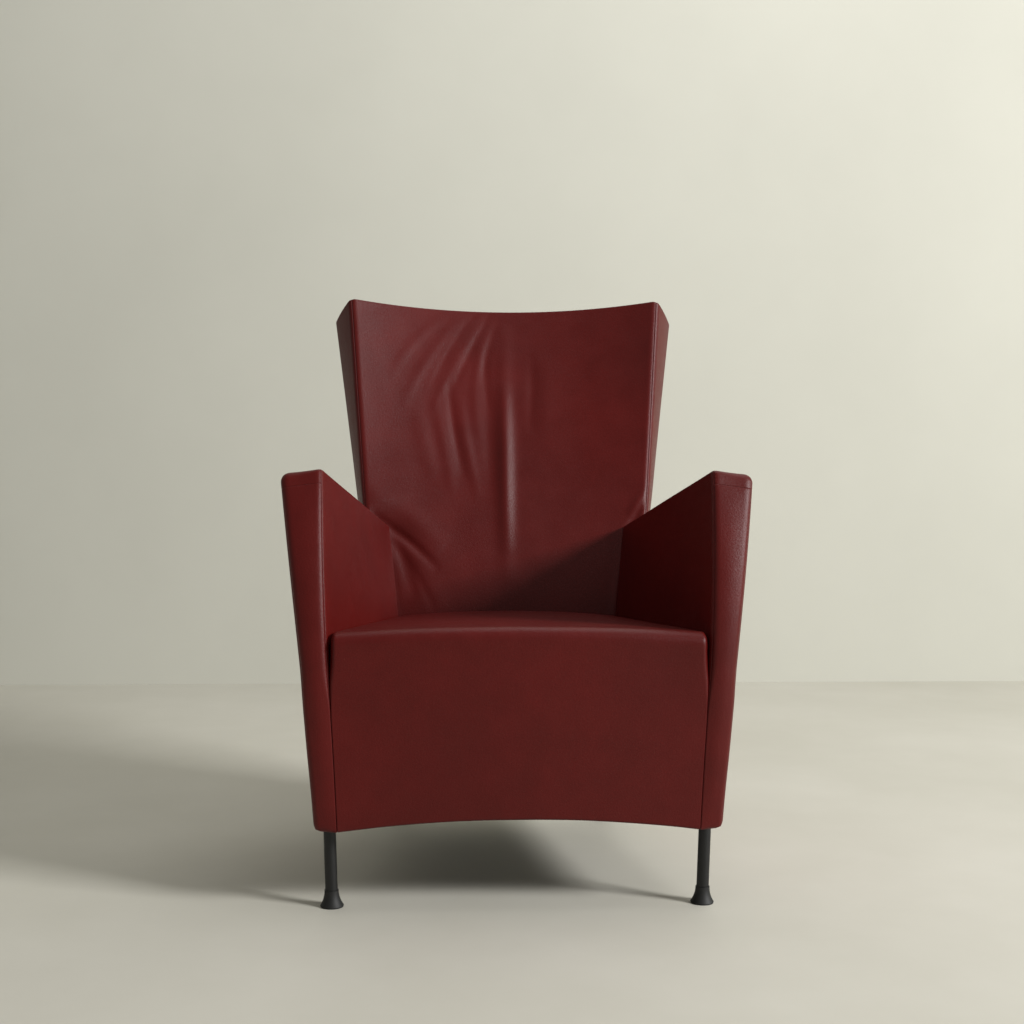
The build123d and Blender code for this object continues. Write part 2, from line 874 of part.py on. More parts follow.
with BuildPart() as right_back_post:
    with BuildSketch(Plane.YZ.offset(post_half)):
        with BuildLine():
            Polyline(
                (behind(back_board_depth), floor_of_core),
                (behind(back_board_depth), back_board_top_z),
                (behind(seat_middle - post_depth / 2), seat_rear_z),
                (behind(arm_middle - post_depth / 2), back_arm_z),
                (behind(top_middle - post_depth / 2), post_top_z),
                (behind(top_middle + post_depth / 2), post_top_z),
                (behind(arm_middle + post_depth / 2), back_arm_z),
                (behind(seat_middle + post_depth / 2), seat_rear_z),
                (behind(post_heel_depth), back_board_top_z),
                (behind(post_heel_depth), floor_of_core),
                close=True,
            )
        make_face()
    extrude(amount=post_board)
    add(rear_insert_space, mode=Mode.SUBTRACT)
    add(rear_stud_space, mode=Mode.SUBTRACT)

left_back_post = mirrored(right_back_post.part)

with BuildPart() as back_board:
    with BuildSketch(Plane.XY.offset(floor_of_core)):
        with Locations((0, behind(back_board_depth))):
            Rectangle(2 * post_half, board, align=(Align.CENTER, Align.MIN))
    extrude(amount=back_board_top_z - floor_of_core)
    add(back_bolt_space, mode=Mode.SUBTRACT)
    add(back_sleeve_space, mode=Mode.SUBTRACT)

with BuildPart() as back_lumbar_rail:
    with BuildSketch(Plane.YZ):
        with BuildLine():
            Polyline(*back_rail_outline(lumbar_rail_top_z, lumbar_rail_height), close=True)
        make_face()
    extrude(amount=post_half, both=True)

with BuildPart() as back_crest_rail:
    with BuildSketch(Plane.YZ):
        with BuildLine():
            Polyline(*back_rail_outline(crest_rail_top_z, crest_rail_height), close=True)
        make_face()
    extrude(amount=post_half, both=True)

with BuildPart() as back_straps:
    lean = (top_middle - arm_middle) / (post_top_z - back_arm_z)
    for number in range(strap_count):
        z = strap_low_z + (strap_high_z - strap_low_z) * number / (strap_count - 1)
        front = arm_middle - post_depth / 2 + lean * (z - back_arm_z)
        rise = lean * strap_width / 2
        with BuildSketch(Plane.YZ):
            with BuildLine():
                Polyline(
                    (behind(front - rise), z - strap_width / 2),
                    (behind(front + rise), z + strap_width / 2),
                    (behind(front + rise - strap_thickness), z + strap_width / 2),
                    (behind(front - rise - strap_thickness), z - strap_width / 2),
                    close=True,
                )
            make_face()
        extrude(amount=post_half + post_board, both=True)

with BuildPart() as back_foam:
    add(back_core)
    for piece in (
        right_back_post.part, left_back_post.part, back_board.part, back_lumbar_rail.part,
        back_crest_rail.part, back_straps.part, back_bolt_space, back_sleeve_space,
        rear_insert_space, mirrored(rear_insert_space).part, rear_stud_space,
        mirrored(rear_stud_space).part, rear_leg_space, mirrored(rear_leg_space).part,
    ):
        add(piece, mode=Mode.SUBTRACT)

save(back_crest_gusset, "back_crest_gusset")
save(right_back_gusset, "right_back_gusset")
save(mirrored(right_back_gusset.part), "left_back_gusset")
save(right_back_post, "right_back_post")
save(left_back_post, "left_back_post")
save(back_board, "back_board")
save(back_lumbar_rail, "back_lumbar_rail")
save(back_crest_rail, "back_crest_rail")
save(back_straps, "back_straps")
save(back_foam, "back_foam")
save(back_inner_cover, "back_inner_cover")
save(back_outer_cover, "back_outer_cover")
save(back_underside_cover, "back_underside_cover")


# Legs: steel tubes that lean a little, on flared feet, each screwed in by a stud and insert.
def foot_radius_at(share):
    return foot_neck_radius + (foot_radius - foot_neck_radius) * (1 - share) ** foot_flare_share


def foot_centre(plane, z):
    return plane.origin + plane.z_dir * (z / plane.z_dir.Z)


def foot_rings(plane):
    rings = []
    for share in foot_shares:
        z = foot_rim + (foot_height - foot_rim) * share
        with BuildSketch(Plane(origin=foot_centre(plane, z))) as ring:
            Circle(foot_radius_at(share))
        rings.append(ring.sketch)
    return rings


def foot_on(plane):
    rings = foot_rings(plane)
    with BuildPart() as foot:
        loft(rings)
        with BuildSketch(Plane(origin=foot_centre(plane, foot_rim))):
            Circle(foot_radius - foot_sole_inset)
        extrude(amount=-foot_rim)
        add(rod(plane, leg_radius + socket_play, foot_sole, bottom_z), mode=Mode.SUBTRACT)
    return foot


def leg_on(plane):
    with BuildPart() as leg:
        add(rod(plane, leg_radius, foot_sole, floor_of_core))
        add(rod(plane, leg_bore, foot_sole, floor_of_core), mode=Mode.SUBTRACT)
    return leg


def stud_on(plane):
    with BuildPart() as stud:
        add(rod(plane, leg_bore - thread_play, floor_of_core - stud_plug_length, floor_of_core))
        add(rod(plane, stud_radius, floor_of_core - thread_play, floor_of_core + stud_rise))
    return stud


def insert_on(plane):
    with BuildPart() as insert:
        add(rod(plane, insert_radius, floor_of_core, floor_of_core + insert_length))
        add(rod(plane, stud_radius + thread_play, foot_height, bottom_z + reach / 2), mode=Mode.SUBTRACT)
    return insert


for place, plane in (("front", front_leg_plane), ("rear", rear_leg_plane)):
    for name, piece in (("leg", leg_on(plane)), ("foot", foot_on(plane))):
        save(piece, "right_" + place + "_" + name)
        save(mirrored(piece.part), "left_" + place + "_" + name)

with BuildPart() as leg_studs:
    for plane in (front_leg_plane, rear_leg_plane):
        add(stud_on(plane).part)
        add(mirrored(stud_on(plane).part).part)
save(leg_studs, "leg_studs")

with BuildPart() as leg_inserts:
    for plane in (front_leg_plane, rear_leg_plane):
        add(insert_on(plane).part)
        add(mirrored(insert_on(plane).part).part)
save(leg_inserts, "leg_inserts")


# Bolts with hexagon-socket heads, and the threaded sleeves they turn into.
with BuildPart() as right_arm_bolts:
    for distance, z in arm_bolt_places:
        head_plane = arm_bolt_plane(distance, z)
        with BuildSketch(head_plane):
            Circle(bolt_radius)
        extrude(amount=arm_bolt_reach(distance, z) + bolt_run_out)
        with BuildSketch(head_plane):
            Circle(bolt_head_radius)
        extrude(amount=-bolt_head_height)
        with BuildSketch(head_plane.offset(-bolt_head_height)):
            RegularPolygon(bolt_hex_radius, side_count=hex_sides)
        extrude(amount=bolt_hex_depth, mode=Mode.SUBTRACT)

with BuildPart() as arm_bolts:
    add(right_arm_bolts.part)
    add(mirrored(right_arm_bolts.part).part)
save(arm_bolts, "arm_bolts")

with BuildPart() as arm_sleeves:
    add(arm_sleeve_space)
    add(arm_bolt_set(bolt_radius + thread_play, bolt_play), mode=Mode.SUBTRACT)
    mirror(about=Plane.YZ)
save(arm_sleeves, "arm_sleeves")

with BuildPart() as back_bolts:
    add(back_bolt_set(bolt_radius, side_rear, back_bolt_length))
    add(back_bolt_set(bolt_head_radius, side_rear - bolt_head_height, bolt_head_height))
    with BuildSketch(Plane.XZ.offset(-behind(side_rear - bolt_head_height))):
        for z in (back_bolt_low_z, back_bolt_high_z):
            with Locations((-back_bolt_half, z), (back_bolt_half, z)):
                RegularPolygon(bolt_hex_radius, side_count=hex_sides)
    extrude(amount=-bolt_hex_depth, mode=Mode.SUBTRACT)
save(back_bolts, "back_bolts")

with BuildPart() as back_sleeves:
    add(back_sleeve_space)
    add(back_bolt_set(bolt_radius + thread_play, side_rear, back_bolt_length + bolt_play), mode=Mode.SUBTRACT)
save(back_sleeves, "back_sleeves")
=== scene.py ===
import bpy
import json
import numpy as np
from math import radians
from mathutils import Euler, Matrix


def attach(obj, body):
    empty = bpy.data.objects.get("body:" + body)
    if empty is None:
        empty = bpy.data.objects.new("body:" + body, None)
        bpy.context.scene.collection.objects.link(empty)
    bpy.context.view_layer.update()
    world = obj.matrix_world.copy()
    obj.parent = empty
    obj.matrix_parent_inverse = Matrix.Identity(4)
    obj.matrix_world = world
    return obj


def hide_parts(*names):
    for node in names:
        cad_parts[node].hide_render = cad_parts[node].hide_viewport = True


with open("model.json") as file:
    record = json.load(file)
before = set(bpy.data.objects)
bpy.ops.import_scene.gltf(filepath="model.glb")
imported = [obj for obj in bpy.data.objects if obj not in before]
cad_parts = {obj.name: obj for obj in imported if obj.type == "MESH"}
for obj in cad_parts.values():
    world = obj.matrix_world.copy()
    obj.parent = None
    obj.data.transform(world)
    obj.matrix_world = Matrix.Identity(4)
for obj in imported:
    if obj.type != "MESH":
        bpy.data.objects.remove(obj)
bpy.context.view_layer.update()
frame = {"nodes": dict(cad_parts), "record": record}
nodes = frame["nodes"]
print("frame loaded:", len(nodes), "solids")

# Sizes are in millimetres: x to the right, y back from the front plane of the seat panel,
# z up from the floor. toRow puts them into the row's metres.
metre = 0.001
frontPlane = -396.7
footZ = 130


def toRow(x, y, z):
    return np.stack([x, y + frontPlane, z], axis=-1) * metre


# Helpers for surfaces
def splineThrough(knots, values, at):
    # natural cubic spline: the bends come from the jumps in slope, and each span is a cubic
    knots, values = np.asarray(knots, float), np.asarray(values, float)
    span = np.diff(knots)
    slope = np.diff(values) / span
    inner = np.arange(1, len(knots) - 1)
    matrix = np.eye(len(knots))
    matrix[inner, inner - 1] = span[:-1]
    matrix[inner, inner] = 2 * (span[:-1] + span[1:])
    matrix[inner, inner + 1] = span[1:]
    right = np.zeros(len(knots))
    right[inner] = 6 * np.diff(slope)
    bend = np.linalg.solve(matrix, right)
    k = np.clip(np.searchsorted(knots, at) - 1, 0, len(span) - 1)
    b = (at - knots[k]) / span[k]
    a = 1 - b
    curve = (a**3 - a) * bend[k] + (b**3 - b) * bend[k + 1]
    return a * values[k] + b * values[k + 1] + curve * span[k] ** 2 / 6


def smoothStep(value, low, high):
    t = np.clip((value - low) / (high - low), 0, 1)
    return t * t * (3 - 2 * t)


# distances from an edge at which a grid has its lines: beside a seam, where the arm's cap folds
# over, round the seat's side flaps and under its front edge
seamRim = (0, 0.5, 1, 1.6, 2.3, 3.2, 4.4, 6, 8, 10.5, 13.5)
foldRim = (0, 1, 2, 3.2, 4.6, 6.5)
flapRim = (0, 1, 2.2, 3.6)
underRim = (0, 1, 2.2, 3.6, 6)


def spread(length, step, rim=seamRim):
    # shares of a length: close together near both ends, and even between them
    rim = np.array(rim)
    count = max(2, int((length - 2 * rim[-1]) / step) + 1)
    even = np.linspace(rim[-1], length - rim[-1], count)
    return np.concatenate([rim[:-1], even, length - rim[:-1][::-1]]) / length


def gapToEnds(share, length):
    return np.minimum(share, 1 - share) * length


def roundBox(point, size, radii, lift):
    # a point of a sharp box goes to the rounded box: its core point lies within the faces by
    # the radii, and it stands off from there by radii plus lift, along an ellipse's ray
    core = [np.clip(p, r, s - r) for p, s, r in zip(point, size, radii)]
    ray = [(p - c) / r for p, c, r in zip(point, core, radii)]
    length = np.sqrt(sum(d * d for d in ray))
    return [c + (r + lift) * d / length for c, d, r in zip(core, ray, radii)]


seam = {"depth": 0.9, "width": 1.1, "pucker": 0.12, "reach": 6, "pitch": 7}


def seamLift(distance, along, depth=1.0):
    # a groove that falls off as a bell curve, and puckers between the stitches beside it
    groove = -seam["depth"] * np.exp(-(distance / seam["width"]) ** 2)
    ripple = np.cos(2 * np.pi * along / seam["pitch"]) * np.exp(-(distance / seam["reach"]) ** 2)
    return depth * (groove + seam["pucker"] * ripple)


fold = {"stations": 18, "fade": 0.7}


def foldLift(x, z, folds):
    # each fold is a bell curve across its path, and fades as a sine towards both of its ends
    lift = np.zeros(np.broadcast(x, z).shape)
    spans = fold["stations"] - 1
    for path, width, height in folds:
        path = np.array(path, float)
        knots = np.arange(len(path))
        stations = np.linspace(0, len(path) - 1, fold["stations"])
        px, pz = (splineThrough(knots, path[:, i], stations) for i in (0, 1))
        nearest = np.full(lift.shape, np.inf)
        share = np.zeros(lift.shape)
        for i in range(spans):
            dx, dz = px[i + 1] - px[i], pz[i + 1] - pz[i]
            t = np.clip(((x - px[i]) * dx + (z - pz[i]) * dz) / (dx * dx + dz * dz), 0, 1)
            distance = np.hypot(x - px[i] - t * dx, z - pz[i] - t * dz)
            closer = distance < nearest
            nearest = np.where(closer, distance, nearest)
            share = np.where(closer, (i + t) / spans, share)
        ends = np.sin(np.pi * np.clip(share, 0, 1)) ** fold["fade"]
        lift += height * ends * np.exp(-(nearest / width) ** 2)
    return lift


wave = {"count": 7, "scale": (0.6, 1.6)}


def rolling(x, z, sets):
    # each set is a few crossing sine waves of unlike lengths, for leather that lies unevenly
    # on its foam; a set is given by its height, its length and its seed
    total = np.zeros(np.broadcast(x, z).shape)
    for height, length, seed in sets:
        dice = np.random.default_rng(seed)
        for _ in range(wave["count"]):
            angle = dice.uniform(0, np.pi)
            phase = dice.uniform(0, 2 * np.pi)
            period = length * dice.uniform(*wave["scale"])
            way = x * np.cos(angle) + z * np.sin(angle)
            total += height / wave["count"] * np.sin(way * 2 * np.pi / period + phase)
    return total


# Materials
def linear(code):
    # sRGB hex to linear, by the standard curve
    parts = np.array([int(code[i:i + 2], 16) for i in (1, 3, 5)]) / 255
    parts = np.where(parts <= 0.04045, parts / 12.92, ((parts + 0.055) / 1.055) ** 2.4)
    return (*parts.tolist(), 1.0)


def newMaterial(name):
    material = bpy.data.materials.new(name)
    material.use_nodes = True
    tree = material.node_tree
    return material, tree, tree.nodes["Principled BSDF"]


def addNode(tree, kind, settings=None, inputs=None, links=None):
    node = tree.nodes.new(kind)
    for key, value in (settings or {}).items():
        setattr(node, key, value)
    for key, value in (inputs or {}).items():
        node.inputs[key].default_value = value
    for key, (source, output) in (links or {}).items():
        tree.links.new(source.outputs[output], node.inputs[key])
    return node


def setStops(node, stops):
    # a new ramp has two stops, and further ones are added
    elements = node.color_ramp.elements
    for i, (place, code) in enumerate(stops):
        stop = elements[i] if i < 2 else elements.new(place)
        stop.position = place
        stop.color = linear(code)


leatherLook = {
    "colours": ((0.42, "#4b0a07"), (0.68, "#510b08"), (0.95, "#590d0a")),
    "cloud": 0.25, "blotch": 0.05, "blotchShare": 0.35,
    # pebbles of about 3.4 mm, coarser than calf's 0.8 mm so that they show, with pores between
    "pebble": 0.0034, "pore": 0.0005, "pebbleShare": -0.7, "relief": 0.0008, "bump": 0.3,
    "roughFrom": (0.3, 0.75), "roughTo": (0.37, 0.43), "specular": 0.25,
}


def anilineLeather(name, look):
    # semi-aniline cowhide, oxblood red: pebbled grain, slightly cloudy dye and a soft wax shine
    material, tree, shader = newMaterial(name)
    place = addNode(tree, "ShaderNodeTexCoord")
    at = {"Vector": (place, "Object")}
    cloud = addNode(tree, "ShaderNodeTexNoise", links=at,
                    inputs={"Scale": 1 / look["cloud"], "Detail": 4, "Roughness": 0.6})
    blotch = addNode(tree, "ShaderNodeTexNoise", links=at,
                     inputs={"Scale": 1 / look["blotch"], "Detail": 3, "Roughness": 0.55})
    both = addNode(tree, "ShaderNodeMath", {"operation": "MULTIPLY_ADD"}, {1: look["blotchShare"]},
                   {0: (blotch, "Fac"), 2: (cloud, "Fac")})
    shade = addNode(tree, "ShaderNodeValToRGB", links={"Fac": (both, "Value")})
    setStops(shade, look["colours"])
    pebble = addNode(tree, "ShaderNodeTexVoronoi", {"feature": "SMOOTH_F1"}, links=at,
                     inputs={"Scale": 1 / look["pebble"], "Smoothness": 0.6, "Randomness": 1.0})
    pore = addNode(tree, "ShaderNodeTexNoise", links=at,
                   inputs={"Scale": 1 / look["pore"], "Detail": 2})
    height = addNode(tree, "ShaderNodeMath", {"operation": "MULTIPLY_ADD"}, {1: look["pebbleShare"]},
                     {0: (pebble, "Distance"), 2: (pore, "Fac")})
    bump = addNode(tree, "ShaderNodeBump", links={"Height": (height, "Value")},
                   inputs={"Strength": look["bump"], "Distance": look["relief"]})
    (fromLow, fromHigh), (toLow, toHigh) = look["roughFrom"], look["roughTo"]
    rough = addNode(tree, "ShaderNodeMapRange", links={"Value": (blotch, "Fac")},
                    inputs={"From Min": fromLow, "From Max": fromHigh,
                            "To Min": toLow, "To Max": toHigh})
    tree.links.new(shade.outputs["Color"], shader.inputs["Base Color"])
    tree.links.new(rough.outputs["Result"], shader.inputs["Roughness"])
    tree.links.new(bump.outputs["Normal"], shader.inputs["Normal"])
    shader.inputs["Specular IOR Level"].default_value = look["specular"]
    return material


def plainFinish(name, dark, light, size, rough, metallic=0.0, bump=0.1, stretch=(1, 1, 1)):
    # a finish with a grain of the given size in metres, stretched along the grain's run
    material, tree, shader = newMaterial(name)
    place = addNode(tree, "ShaderNodeTexCoord")
    turned = addNode(tree, "ShaderNodeMapping", links={"Vector": (place, "Object")},
                     inputs={"Scale": stretch})
    grain = addNode(tree, "ShaderNodeTexNoise", links={"Vector": (turned, "Vector")},
                    inputs={"Scale": 1 / size, "Detail": 5, "Roughness": 0.6})
    shade = addNode(tree, "ShaderNodeValToRGB", links={"Fac": (grain, "Fac")})
    setStops(shade, ((0.35, dark), (0.7, light)))
    lift = addNode(tree, "ShaderNodeBump", links={"Height": (grain, "Fac")},
                   inputs={"Strength": bump, "Distance": 0.0003})
    tree.links.new(shade.outputs["Color"], shader.inputs["Base Color"])
    tree.links.new(lift.outputs["Normal"], shader.inputs["Normal"])
    shader.inputs["Roughness"].default_value = rough
    shader.inputs["Metallic"].default_value = metallic
    return material


finishes = {
    "leather": anilineLeather("OxbloodAnilineLeather", leatherLook),
    # powder coat: even black, satin, with a very fine orange peel
    "black_steel": plainFinish("BlackPowderCoat", "#040404", "#060606", 0.0012, 0.5, bump=0.12),
    # moulded rubber: dull dark grey that looks a little dusty
    "black_rubber": plainFinish("MouldedRubber", "#0a0a09", "#11110f", 0.003, 0.62, bump=0.15),
    # bright zinc: cold grey metal with a light brushed streak
    "zinc_steel": plainFinish("ZincPlatedSteel", "#8d9096", "#b4b7bb", 0.004, 0.32, 1.0, 0.06, (1, 1, 6)),
    # birch plywood and beech: pale wood with a long grain
    "plywood": plainFinish("BirchPlywood", "#b08a5c", "#d2b184", 0.006, 0.6, bump=0.2,
                           stretch=(1, 1, 0.12)),
    "beech": plainFinish("SawnBeech", "#b58d62", "#cfa67a", 0.004, 0.58, bump=0.2, stretch=(0.12, 1, 1)),
    # moulded foam: cream, matt, open cells
    "foam": plainFinish("MouldedFoam", "#cfc59f", "#e2dab8", 0.0025, 0.9, bump=0.4),
    # elastic webbing and spun lining: matt black cloth
    "webbing": plainFinish("ElasticWebbing", "#17181a", "#2a2c2f", 0.0015, 0.8, bump=0.4),
    "lining": plainFinish("SpunLining", "#0d0d0d", "#191919", 0.002, 0.85, bump=0.5),
}
slotOf = {part["node"]: part["material_slot"] for part in frame["record"]["subparts"]}
for name, solid in nodes.items():
    solid.data.materials.clear()
    solid.data.materials.append(finishes[slotOf[name]])
print("finishes:", len(finishes))


# Pieces
# leather 1.2 mm thick, laid inwards from the surface
hideThickness = 0.0012


def gridFaces(rows, columns):
    corner = (np.arange(rows - 1)[:, None] * columns + np.arange(columns - 1)).ravel()
    return np.stack([corner, corner + 1, corner + columns + 1, corner + columns], axis=1)


def makePiece(name, grids, core, replaced, slot="leather"):
    # every grid is one face of the form; its quads are turned so that they look away from the core
    points, faces, count = [], [], 0
    core = toRow(*np.array(core, float))
    for x, y, z in grids:
        grid = toRow(*np.broadcast_arrays(x, y, z))
        quads = gridFaces(*grid.shape[:2])
        flat = grid.reshape(-1, 3)
        across = flat[quads[:, 2]] - flat[quads[:, 0]]
        upward = flat[quads[:, 3]] - flat[quads[:, 1]]
        outward = flat[quads].mean(axis=1) - core
        if np.sum(np.cross(across, upward) * outward) < 0:
            quads = quads[:, ::-1]
        points.append(flat)
        faces.append(quads + count)
        count += len(flat)
    points, faces = np.concatenate(points), np.concatenate(faces)
    mesh = bpy.data.meshes.new(name)
    mesh.vertices.add(len(points))
    mesh.vertices.foreach_set("co", points.ravel())
    mesh.loops.add(faces.size)
    mesh.loops.foreach_set("vertex_index", faces.ravel().astype(np.int32))
    mesh.polygons.add(len(faces))
    mesh.polygons.foreach_set("loop_start", np.arange(0, faces.size, 4, dtype=np.int32))
    mesh.polygons.foreach_set("use_smooth", np.ones(len(faces), dtype=bool))
    mesh.update(calc_edges=True)
    mesh.validate()
    mesh.materials.append(finishes[slot])
    piece = bpy.data.objects.new(name, mesh)
    bpy.context.scene.collection.objects.link(piece)
    thickness = piece.modifiers.new("leather thickness", "SOLIDIFY")
    thickness.thickness = hideThickness
    thickness.offset = -1
    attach(piece, "root")
    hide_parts(*replaced)


# Backrest
back = {
    # the form's values at these heights above the floor, the last ones past its end
    "heights": (130, 421, 625, 1047, 1089.2),
    "frontHalf": (240, 259, 277, 311, 314.4), "frontDepth": (450, 480, 539, 660, 672.1),
    "frontSag": (4, 8, 26, 66, 70),
    "rearHalf": (236, 258, 292, 355, 361.3), "rearDepth": (590, 584, 600, 737, 750.7),
    "rearBulge": (24, 30, 44, 78, 81.4),
    "cornerDepth": 660, "cornerZ": 1047, "crestRadius": 2850, "crestRise": 17, "crestSlope": 35,
    # the crest's height is found by repeated steps from this first guess
    "firstTop": 1030, "topSteps": 8,
    "frontRound": 11, "rearRound": 9, "crestRound": 4,
    # the hides laid flat, and the spacing of their grids' lines
    "wide": 610, "tall": 900, "edge": 90, "edgeGrid": 80, "steps": (4.2, 4.6, 4),
    # unevenness, and how far from the seams it starts
    "frontWaves": [(0.7, 230, 3), (0.3, 55, 4)], "rearWaves": [(0.6, 240, 5)],
    "edgeWaves": [(0.4, 160, 7)], "sideFade": 26, "topFade": 22, "rearFade": 30, "edgeFade": 20,
    "edgeSwell": 2.0, "crestSwell": 1.5,
}
# the sides run straight below the seat and above the arms, held by knots at even spans
backKnots = np.concatenate([np.linspace(130, 421, 4), np.linspace(625, 1075, 7)])


def backValue(key, z):
    return splineThrough(backKnots, np.interp(backKnots, back["heights"], back[key]), z)


def crestZ(x, y):
    # the crest is a plane that falls to the rear, bounded by a large circle across the chair
    rise = back["crestRise"] - back["crestRadius"] + np.sqrt(back["crestRadius"] ** 2 - x**2)
    slope = radians(back["crestSlope"])
    return back["cornerZ"] + rise / np.cos(slope) - np.tan(slope) * (y - back["cornerDepth"])


def backFace(side, across, up):
    # across runs -1 to 1 and up 0 to 1; the face is an arc at every height, cut off by the crest
    half, depth, arc = {"front": ("frontHalf", "frontDepth", "frontSag"),
                        "rear": ("rearHalf", "rearDepth", "rearBulge")}[side]
    top = np.full(np.broadcast(across, up).shape, float(back["firstTop"]))
    for _ in range(back["topSteps"]):
        x = across * backValue(half, top)
        y = backValue(depth, top) + backValue(arc, top) * (1 - across**2)
        top = crestZ(x, y)
    z = footZ + (top - footZ) * up
    x = across * backValue(half, z)
    y = backValue(depth, z) + backValue(arc, z) * (1 - across**2)
    return x, y, z


def backFrontY(x, z):
    share = np.clip(1 - (x / backValue("frontHalf", z)) ** 2, 0, 1)
    return backValue("frontDepth", z) + backValue("frontSag", z) * share


def backPoint(share, deep, up):
    # share 0 to 1 across, deep 0 at the front face and 1 at the rear, up 0 to 1
    front = backFace("front", 2 * share - 1, up)
    rear = backFace("rear", 2 * share - 1, up)
    return [f + (r - f) * deep for f, r in zip(front, rear)]


def backSurface(share, deep, up, lift=0.0):
    share, deep, up = np.broadcast_arrays(share, deep, up)
    level = footZ + back["tall"] * up
    frontHalf = backValue("frontHalf", level)
    wide = 2 * (frontHalf + deep * (backValue("rearHalf", level) - frontHalf))
    thick = backValue("rearDepth", level) - backValue("frontDepth", level)
    arcs = backValue("rearBulge", level) - backValue("frontSag", level)
    thick = thick + arcs * (1 - (2 * share - 1) ** 2)
    high = np.full(share.shape, float(back["tall"]))
    edge = back["frontRound"] + (back["rearRound"] - back["frontRound"]) * deep
    radii = (edge, edge, np.full(share.shape, float(back["crestRound"])))
    place = roundBox((share * wide, deep * thick, up * high), (wide, thick, high), radii, lift)
    return backPoint(place[0] / wide, place[1] / thick, place[2] / high)


# folds of the front panel, as places across and above the floor: path, width, height
backFolds = [
    # the long ridge up the middle, widest at half height, and the soft valleys beside it
    ([(3, 1000), (-1, 860), (0, 730), (0, 610), (1, 480)], 15, 3.4),
    ([(0, 880), (0, 760), (0, 640), (1, 540)], 14, 4.2),
    ([(-34, 860), (-32, 760), (-28, 640)], 13, -1.6),
    ([(56, 940), (55, 851), (50, 770)], 9, -1.3),
    ([(82, 930), (84, 850), (76, 760)], 15, 0.9),
    ([(151, 1000), (150, 841), (140, 640)], 40, -2.0),
    # fine pulls that fan out from the crest to the left
    ([(-30, 1030), (-62, 985), (-96, 925), (-128, 860), (-150, 800)], 9, 1.1),
    ([(-64, 1030), (-108, 990), (-150, 930), (-180, 880), (-205, 820)], 10, 1.1),
    ([(-104, 1025), (-150, 990), (-196, 940), (-230, 880)], 10, 0.8),
    ([(-12, 1020), (-40, 960), (-56, 900), (-60, 830), (-52, 760)], 9, 1.1),
    ([(-22, 1030), (-50, 975), (-80, 915), (-108, 850)], 6, -1.2),
    ([(-46, 1030), (-84, 985), (-122, 920), (-150, 860)], 6, -0.9),
    ([(-10, 1010), (-34, 940), (-38, 880), (-30, 800)], 8, -1.5),
    ([(-112, 880), (-106, 810), (-94, 740), (-82, 680)], 8, -2.0),
    ([(-140, 850), (-128, 780), (-112, 700), (-104, 650)], 11, 1.3),
    ([(-90, 850), (-80, 770), (-66, 700), (-54, 640)], 10, 1.7),
    ([(-176, 830), (-160, 750), (-140, 680)], 16, 1.1),
    # the hollow beside the left arm, the crease off the arm, the swell above it and the
    # creases below it
    ([(-232, 640), (-228, 560), (-222, 480), (-214, 380)], 46, -6.5),
    ([(-285, 622), (-246, 603), (-205, 574), (-168, 543), (-130, 505)], 8, -4.2),
    ([(-278, 648), (-221, 625), (-169, 592), (-118, 548)], 22, 3.2),
    ([(-238, 590), (-214, 552), (-190, 500), (-176, 450)], 11, -2.4),
    ([(-222, 575), (-208, 500), (-200, 424)], 7, 0.5),
    ([(-215, 560), (-170, 490), (-136, 424)], 8, -1.1),
    # the pull at the right arm, and the leather rolled up against both arms
    ([(291, 674), (266, 644), (238, 612)], 9, 3.4),
    ([(284, 640), (258, 615), (234, 580)], 7, -3.0),
    ([(-238, 590), (-226, 507), (-208, 411)], 4, 1.0),
    ([(232, 590), (215, 497), (203, 411)], 6, 3.0),
]


